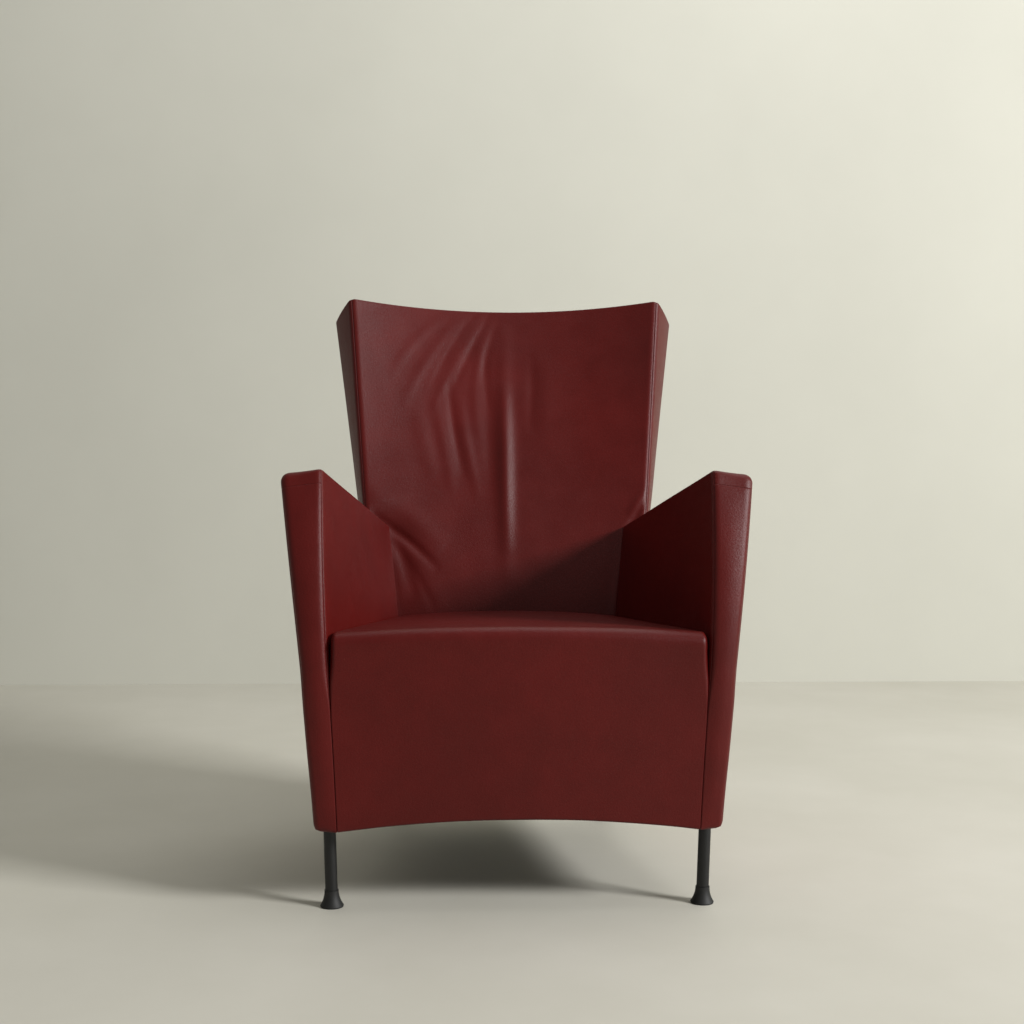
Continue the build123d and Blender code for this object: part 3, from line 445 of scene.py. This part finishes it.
def backPieces():
    wide, tall, edge = back["wide"], back["tall"], back["edge"]
    acrossStep, upStep, deepStep = back["steps"]
    shares, ups = spread(wide, acrossStep), spread(tall, upStep)
    deeps = spread(back["edgeGrid"], deepStep)

    # front and rear panel
    share, up = np.meshgrid(shares, ups)
    x, y, z = backPoint(share, 0, up)
    sideGap, topGap = gapToEnds(share, wide), (1 - up) * tall
    rim = seamLift(sideGap, up * tall) + seamLift(topGap, share * wide)
    soft = smoothStep(sideGap, 0, back["sideFade"]) * smoothStep(topGap, 0, back["topFade"])
    lift = (foldLift(x, z, backFolds) + rolling(x, z, back["frontWaves"])) * soft + rim
    front = backSurface(share, np.zeros_like(share), up, lift)
    makePiece("backInnerLeather", [front], (0, 700, 600), ["back_inner_cover", "back_foam"])
    lift = rolling(x, z, back["rearWaves"]) * smoothStep(sideGap, 0, back["rearFade"]) + rim
    rear = backSurface(share, np.ones_like(share), up, lift)
    makePiece("backOuterLeather", [rear], (0, 480, 600), ["back_outer_cover"])

    # side gussets, which swell as a sine between their seams
    deep, up = np.meshgrid(deeps, ups)
    edgeGap = gapToEnds(deep, edge)
    lift = rolling(deep * edge, up * tall, back["edgeWaves"]) * smoothStep(edgeGap, 0, back["edgeFade"])
    lift = lift + back["edgeSwell"] * np.sin(np.pi * deep)
    lift = lift + seamLift(edgeGap, up * tall) + seamLift((1 - up) * tall, deep * edge)
    for name, share in (("Left", 0), ("Right", 1)):
        gusset = backSurface(np.full_like(deep, share), deep, up, lift)
        replaced = [name.lower() + "_back_gusset"]
        makePiece("backGussetLeather" + name, [gusset], (0, 620, 600), replaced)

    # crest gusset and the lining below
    share, deep = np.meshgrid(shares, deeps)
    lift = back["crestSwell"] * np.sin(np.pi * deep) + seamLift(gapToEnds(deep, edge), share * wide)
    lift = lift + seamLift(gapToEnds(share, wide), deep * edge)
    crest = backSurface(share, deep, np.ones_like(share), lift)
    makePiece("backCrestLeather", [crest], (0, 650, 700), ["back_crest_gusset"])
    floor = backSurface(share, deep, np.zeros_like(share))
    makePiece("backUndersideLining", [floor], (0, 520, 600), ["back_underside_cover"], slot="lining")


backPieces()
print("backrest done")


# Arms
arm = {
    # values at the front plane and at the station behind it, with straight lines between
    "station": 500,
    "innerFoot": (289, 166), "innerHead": (334, 235), "outerFoot": (325, 232), "outerHead": (407, 282),
    "headZ": (726, 601), "headFall": 9, "innerHollow": 5, "outerHollow": 10,
    "kneeZ": 330, "lean": 80, "leanZ": 706, "capDrop": 27,
    # height and length are found by repeated steps from these first guesses
    "firstHigh": 560, "highSteps": 5, "firstLong": 460, "longSteps": 8,
    # roundings, small below the knee where the seat is sewn on, and full above it
    "seamRound": 1.4, "innerRound": 9, "outerRound": 15, "lowShare": 0.6, "rearRound": 4,
    "innerEndRound": 6, "outerEndRound": 15, "softFrom": -20, "softTo": 60,
    # padding: the front's crown and outward turn, and the puff towards its outer edge
    "frontCrown": 5, "crownPower": 0.4, "frontTurn": 6, "turnReach": 70,
    "puff": 3.5, "puffReach": 150, "puffShares": (0.25, 0.75, 0.6), "puffLow": 0.22, "puffBand": 0.15,
    # the hides laid flat
    "long": 470, "tall": 590, "wide": 65, "frontWide": 58, "floorWide": 36,
    # the spacing of their grids' lines
    "step": 5, "frontStep": 2.6, "capStep": 2, "floorSteps": (3, 8),
    # unevenness, how far from the seams it starts, and the seams' depths
    "innerWaves": [(0.5, 200, 11)], "outerWaves": [(0.6, 220, 13)], "fade": 30, "frontFade": 40,
    "headSeam": 0.8, "frontSeam": 0.5, "frontCapSeam": 0.25, "outerCapSeam": 0.3, "capSeam": 0.25,
    "capInnerSeam": 0.7, "capNear": 60,
}


def armValue(key, y):
    near, far = arm[key]
    return near + (far - near) * y / arm["station"]


def armFrontY(z):
    # upright below the knee, then an arc that leans back, then straight on
    rise, lean = arm["leanZ"] - arm["kneeZ"], arm["lean"]
    radius = (rise**2 + lean**2) / (2 * lean)
    over = np.clip(z - arm["kneeZ"], 0, rise)
    straight = np.clip(z - arm["leanZ"], 0, None) * rise / (radius - lean)
    return radius - np.sqrt(radius**2 - over**2) + straight


def armPoint(share, depth, up):
    # share 0 at the inner face and 1 at the outer, depth behind the front face, up 0 to 1
    # the front turns away to the outer side, and that dies out along the arm
    turn = arm["frontTurn"] * share * np.exp(-depth / arm["turnReach"])
    z = footZ + up * arm["firstHigh"]
    for _ in range(arm["highSteps"]):
        y = depth + turn + armFrontY(z)
        z = footZ + up * (armValue("headZ", y) - arm["headFall"] * share - footZ)
    hollow = 4 * up * (1 - up)
    inner = armValue("innerFoot", y) + (armValue("innerHead", y) - armValue("innerFoot", y)) * up
    outer = armValue("outerFoot", y) + (armValue("outerHead", y) - armValue("outerFoot", y)) * up
    inner, outer = inner - arm["innerHollow"] * hollow, outer - arm["outerHollow"] * hollow
    return inner + (outer - inner) * share, y, z


def armLength(share, up):
    # how far the arm runs behind its front face before it meets the backrest
    depth = np.full(np.broadcast(share, up).shape, float(arm["firstLong"]))
    for _ in range(arm["longSteps"]):
        x, y, z = armPoint(share, depth, up)
        depth = depth + backFrontY(x, z) - y
    return depth


def armSurface(share, run, up, lift=0.0, depth=None):
    # run is the share of the arm's length, or depth gives it in millimetres
    share, run, up = np.broadcast_arrays(share, run, up)
    long = armLength(share, up)
    depth = run * long if depth is None else depth
    inner, outer = armPoint(0 * share, depth, up), armPoint(0 * share + 1, depth, up)
    wide = outer[0] - inner[0]
    high = armPoint(share, depth, 0 * up + 1)[2] - footZ
    soft = smoothStep(up * high + footZ, arm["kneeZ"] + arm["softFrom"], arm["kneeZ"] + arm["softTo"])
    near = arm["seamRound"] + (arm["innerRound"] - arm["seamRound"]) * soft
    far = arm["outerRound"] * (arm["lowShare"] + (1 - arm["lowShare"]) * soft)
    edge = near + (far - near) * share
    rear = np.where(depth > long / 2, float(arm["rearRound"]), edge)
    end = arm["innerEndRound"] + (arm["outerEndRound"] - arm["innerEndRound"]) * share
    place = roundBox((share * wide, depth, up * high), (wide, long, high), (edge, rear, end), lift)
    return armPoint(place[0] / wide, place[1], place[2] / high)


def armPuff(share, depth, up):
    # the wadding stands fullest at the outer front edge, low down and below the cap
    even, ends, low = arm["puffShares"]
    full = even + ends * (2 * up - 1) ** 2
    full = full + low * np.exp(-((up - arm["puffLow"]) / arm["puffBand"]) ** 2)
    return arm["puff"] * full * share**3 * np.exp(-np.clip(depth, 0, None) / arm["puffReach"])


def armInner():
    long, tall, step = arm["long"], arm["tall"], arm["step"]
    run, up = np.meshgrid(spread(long, step), spread(tall, step))
    soft = smoothStep(gapToEnds(run, long), 0, arm["fade"])
    lift = rolling(run * long, up * tall, arm["innerWaves"]) * soft + seamLift(run * long, up * tall)
    lift = lift + seamLift((1 - up) * tall, run * long, arm["headSeam"])
    return [armSurface(np.zeros_like(run), run, up, lift)]


def armWrap():
    # the hide round the front and the outer side, up to the cap's seam, and under the arm
    long, wide, tall = arm["long"], arm["frontWide"], arm["tall"] - arm["capDrop"]
    capShare, step = 1 - arm["capDrop"] / arm["tall"], arm["step"]
    share, up = np.meshgrid(spread(wide, arm["frontStep"]), spread(tall, step))
    crown = np.sin(np.pi * share) * np.sin(np.pi * np.clip(up, 0, 1)) ** arm["crownPower"]
    lift = arm["frontCrown"] * crown + armPuff(share, 0, up * capShare)
    lift = lift + seamLift(share * wide, up * tall, arm["frontSeam"])
    lift = lift + seamLift((1 - up) * tall, share * wide, arm["frontCapSeam"])
    front = armSurface(share, np.zeros_like(share), up * capShare, lift)

    run, up = np.meshgrid(spread(long, step), spread(tall, step))
    soft = smoothStep(run * long, 0, arm["frontFade"]) * smoothStep((1 - run) * long, 0, arm["fade"])
    lift = rolling(run * long, up * tall, arm["outerWaves"]) * soft
    lift = lift + armPuff(1, run * long, up * capShare)
    lift = lift + seamLift((1 - up) * tall, run * long, arm["outerCapSeam"])
    outer = armSurface(np.ones_like(run), run, up * capShare, lift)

    acrossStep, alongStep = arm["floorSteps"]
    share, run = np.meshgrid(spread(arm["floorWide"], acrossStep), spread(long, alongStep))
    return [front, outer, armSurface(share, run, 0.0)]


def armCap():
    # the cap folds over the front and the outer side by the same drop
    drop, wide, long = arm["capDrop"], arm["wide"], arm["long"]
    over = drop * spread(drop, arm["capStep"], foldRim)
    across = np.concatenate([spread(wide, arm["frontStep"]) * wide, wide + over[1:]])
    down = np.concatenate([-over[::-1], spread(long, arm["step"])[1:] * long])
    u, v = np.meshgrid(across, down)
    beside, fore, behind = np.clip(u - wide, 0, drop), np.clip(-v, 0, drop), np.clip(v, 0, long)
    fall = np.where(v < 0, beside + fore * (drop - beside) / drop, beside)
    depth = np.where(v < 0, beside, beside + behind * (long - beside) / long)
    share = np.clip(u / wide, 0, 1)
    up = 1 - fall / arm["tall"]
    lift = seamLift(drop - np.maximum(beside, fore), u + v, arm["capSeam"])
    lift = lift + seamLift(u, v, arm["capInnerSeam"]) + armPuff(share, depth, up)
    stretched = depth / long * armLength(share, up)
    place = np.where(depth > arm["capNear"], stretched, depth)
    return [armSurface(share, depth / long, up, lift, place)]


inner, wrap, cap = armInner(), armWrap(), armCap()
for name, way in (("Right", 1), ("Left", -1)):
    side = name.lower()
    core = (way * 300, 260, 400)
    for piece, grids, replaced in (
        ("armInnerLeather", inner, [side + "_arm_inner_cover", side + "_arm_foam"]),
        ("armWrapLeather", wrap, [side + "_arm_outer_cover"]),
        ("armCapLeather", cap, [side + "_arm_cap_cover"]),
    ):
        makePiece(piece + name, [(way * x, y, z) for x, y, z in grids], core, replaced)
print("arms done")


# Seat
seat = {
    "half": 300, "frontZ": 446, "rearZ": 421, "depth": 480, "crown": 10, "arch": 18,
    # roundings: the lip, the sides above and below the arms' knee, the foot and the rear end
    "lipRound": 20, "edgeRound": 8, "seamRound": 1.6, "frontRound": 4, "footRound": 5, "rearRound": 12,
    "lipFrom": 80, "lipTo": 25, "softFrom": -20, "softTo": 70, "halfDepth": 240,
    # below the knee the sides are pressed against the arms, above it they clear them
    "clear": 0.4, "press": 0.5, "pressFrom": -40, "pressTo": 10,
    # the hide laid flat, its turned-in flaps, and how far it runs into the backrest
    "wide": 600, "tall": 306, "long": 500, "flap": 17, "under": 30, "tuck": 3,
    # the spacing of its grid's lines
    "step": 4, "acrossStep": 4.2, "flapStep": 2.5,
    "waves": [(0.7, 210, 17)], "fade": 40,
}


def seatSide(y, z):
    # the seat is as wide as its front panel, or as the room between the arms where that is less
    up = np.clip((z - footZ) / (armValue("headZ", y) - footZ), 0, 1)
    inner = armValue("innerFoot", y) + (armValue("innerHead", y) - armValue("innerFoot", y)) * up
    above = smoothStep(z, arm["kneeZ"] + seat["pressFrom"], arm["kneeZ"] + seat["pressTo"])
    press = seat["press"] * (1 - above)
    inner = inner - arm["innerHollow"] * 4 * up * (1 - up) - seat["clear"] + press
    return np.minimum(seat["half"], inner)


def seatPoint(share, depth, up):
    across = 2 * share - 1
    fall = (seat["rearZ"] - seat["frontZ"]) * depth / seat["depth"]
    top = seat["frontZ"] + fall + seat["crown"] * (1 - across**2)
    bottom = footZ + seat["arch"] * (1 - across**2)
    z = bottom + (top - bottom) * up
    return across * seatSide(depth, z), depth, z


def seatSurface(share, depth, up, lift):
    share, depth, up = np.broadcast_arrays(share, depth, up)
    x, y, z = seatPoint(share, depth, up)
    wide = 2 * seatSide(depth, z)
    long = backFrontY(x, z) + seat["tuck"]
    high = np.full(share.shape, float(seat["tall"]))
    upper = smoothStep(up * high, high - seat["lipFrom"], high - seat["lipTo"])
    soft = smoothStep(z, arm["kneeZ"] + seat["softFrom"], arm["kneeZ"] + seat["softTo"])
    edge = seat["seamRound"] + (seat["edgeRound"] - seat["seamRound"]) * soft
    front = seat["frontRound"] + (seat["lipRound"] - seat["frontRound"]) * upper
    end = seat["footRound"] + (seat["lipRound"] - seat["footRound"]) * upper
    along = np.where(depth > seat["halfDepth"], float(seat["rearRound"]), front)
    place = roundBox((share * wide, depth, up * high), (wide, long, high), (edge, along, end), lift)
    return seatPoint(place[0] / wide, place[1], place[2] / high)


def seatGrid():
    # one hide from under the front edge, up the front, over the lip and back to the backrest
    flap, under, wide = seat["flap"], seat["under"], seat["wide"]
    tall, deep, step = seat["tall"], seat["long"], seat["step"]
    side = flap * spread(flap, seat["flapStep"], flapRim)
    low = under * spread(under, step, underRim)
    middle = spread(wide, seat["acrossStep"])[1:-1] * wide
    sideways = np.concatenate([-side[::-1], middle, wide + side])
    panel, cushion = spread(tall, step)[1:-1] * tall, tall + spread(deep, step) * deep
    path = np.concatenate([-low[::-1], panel, cushion])
    u, v = np.meshgrid(sideways, path)
    beside = np.maximum(np.clip(-u, 0, flap), np.clip(u - wide, 0, flap))
    share = np.clip(u / wide, 0, 1)
    below, rising, over = np.clip(-v, 0, under), np.clip(v, 0, tall), np.clip(v - tall, 0, deep)
    up = np.where(v <= tall, rising * (tall - beside) / tall, tall - beside) / tall
    up = np.where(v < 0, 0.0, up)
    x, y, z = seatPoint(share, seat["depth"], up)
    long = backFrontY(x, z) + seat["tuck"]
    top = np.where(v <= tall, beside, beside + over * (long - beside) / deep)
    depth = np.where(v < 0, np.maximum(below, beside), top)
    x, y, z = seatPoint(share, depth, up)
    lift = rolling(x, v, seat["waves"]) * smoothStep(np.minimum(u, wide - u), 0, seat["fade"])
    return [seatSurface(share, depth, up, lift)]


makePiece("seatLeather", seatGrid(), (0, 240, 290), ["seat_cover", "seat_foam"])
print("seat done")


# Stage, light and camera, in metres and degrees
studio = {
    "reach": 6, "wallBehind": 2.33, "wallTop": 5,
    # painted concrete and a painted wall: dull, with very soft clouds
    "floorPaint": ("#bebbaf", "#c6c3b8", 0.6), "wallPaint": ("#c2c1b6", "#c7c6bb", 0.9),
    "paintRough": 0.75, "paintBump": 0.02,
    "key": {"turn": 60, "rise": 25, "far": 7.5, "size": (1.8, 1.4), "power": 625},
    "fill": {"turn": 110, "rise": 76, "far": 3.2, "size": (2.6, 2.2), "power": 34},
    "aim": (0, 0, 0.55), "air": "#fbfaf4", "airLevel": 0.28,
    "camera": (-0.118, -2.6297, 0.719), "yaw": 2.66, "pitch": 2.09, "roll": 0.21,
    "lens": 50, "sensor": 36,
}


def stagePlane(name, corners, paint):
    mesh = bpy.data.meshes.new(name)
    mesh.from_pydata(corners, [], [(0, 1, 2, 3)])
    rough, bump = studio["paintRough"], studio["paintBump"]
    mesh.materials.append(plainFinish(name + "Paint", *paint, rough, bump=bump))
    plane = bpy.data.objects.new(name, mesh)
    bpy.context.scene.collection.objects.link(plane)


def softLight(name, turn, rise, far, size, power):
    # stands turn degrees to the right of the front and rise degrees up, and looks at the seat
    data = bpy.data.lights.new(name, "AREA")
    data.shape = "RECTANGLE"
    data.size, data.size_y = size
    data.energy = power
    light = bpy.data.objects.new(name, data)
    turn, rise = radians(turn), radians(rise)
    way = np.array([np.sin(turn) * np.cos(rise), -np.cos(turn) * np.cos(rise), np.sin(rise)])
    light.location = studio["aim"] + far * way
    light.rotation_euler = Euler((np.pi / 2 - rise, 0, turn))
    bpy.context.scene.collection.objects.link(light)


reach, wallTop = studio["reach"], studio["wallTop"]
wallY = frontPlane * metre + studio["wallBehind"]
floorCorners = [(-reach, -reach, 0), (reach, -reach, 0), (reach, wallY, 0), (-reach, wallY, 0)]
wallCorners = [(-reach, wallY, 0), (reach, wallY, 0), (reach, wallY, wallTop), (-reach, wallY, wallTop)]
stagePlane("studioFloor", floorCorners, studio["floorPaint"])
stagePlane("studioWall", wallCorners, studio["wallPaint"])
softLight("keyLight", **studio["key"])
softLight("fillLight", **studio["fill"])

world = bpy.data.worlds.new("studioAir")
bpy.context.scene.world = world
world.use_nodes = True
sky = world.node_tree.nodes["Background"]
sky.inputs["Color"].default_value = linear(studio["air"])
sky.inputs["Strength"].default_value = studio["airLevel"]

lens = bpy.data.cameras.new("studioCamera")
lens.lens, lens.sensor_width = studio["lens"], studio["sensor"]
camera = bpy.data.objects.new("studioCamera", lens)
camera.location = studio["camera"]
turned = Euler((radians(90 - studio["pitch"]), 0, -radians(studio["yaw"]))).to_matrix()
rolled = Euler((0, 0, radians(studio["roll"]))).to_matrix()
camera.rotation_euler = (turned @ rolled).to_euler()
bpy.context.scene.collection.objects.link(camera)
bpy.context.scene.camera = camera
bpy.context.scene.view_settings.view_transform = "Standard"
print("stage, light and camera done")
